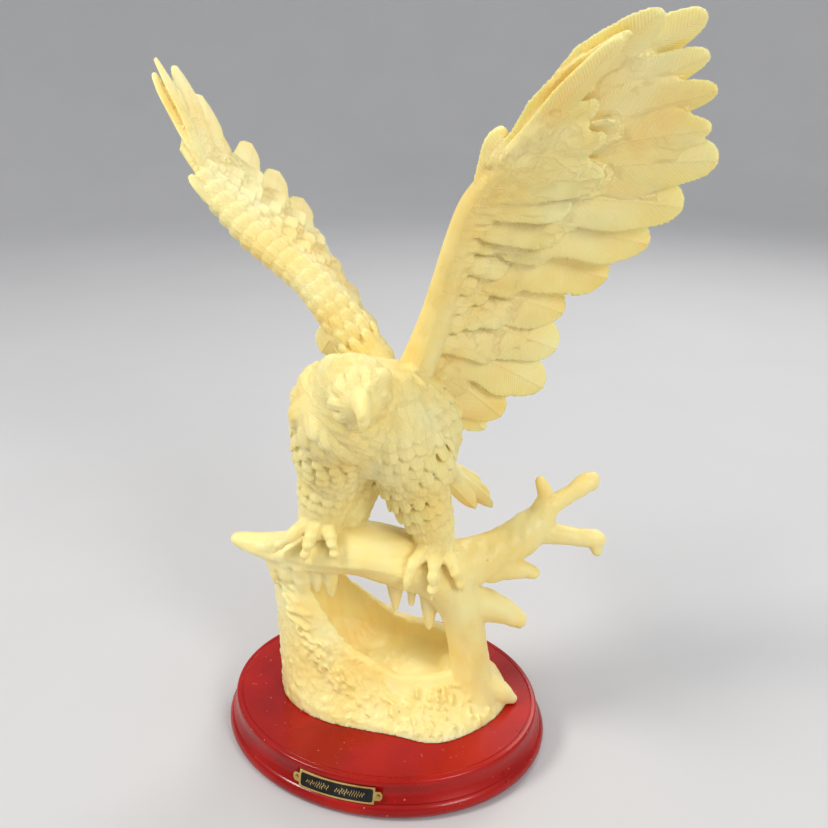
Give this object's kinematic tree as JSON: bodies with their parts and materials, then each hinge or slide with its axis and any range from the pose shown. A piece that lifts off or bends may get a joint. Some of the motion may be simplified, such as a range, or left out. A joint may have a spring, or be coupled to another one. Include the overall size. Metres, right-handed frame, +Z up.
{
  "type": "resin eagle sculpture",
  "caption": "Frosted resin eagle with raised wings on a branch over a rocky foot, on an oval lacquered wood plinth with a small nameplate.",
  "frame": {"origin": "middle of the plinth's underside", "axes": "+Z up, +X along the plinth's long axis, -Y out of its nameplate side"},
  "size_m": [0.2924, 0.1844, 0.3865],
  "materials": {
    "resin": "frosted, translucent",
    "lacquer": "gloss cherry lacquer",
    "brass": "polished, with black enamel field"
  },
  "bodies": {
    "root": {"resin_eagle": "resin", "wood_plinth": "lacquer", "nameplate": "brass", "nameplate_pin_left": "brass", "nameplate_pin_right": "brass"}
  },
  "joints": []
}
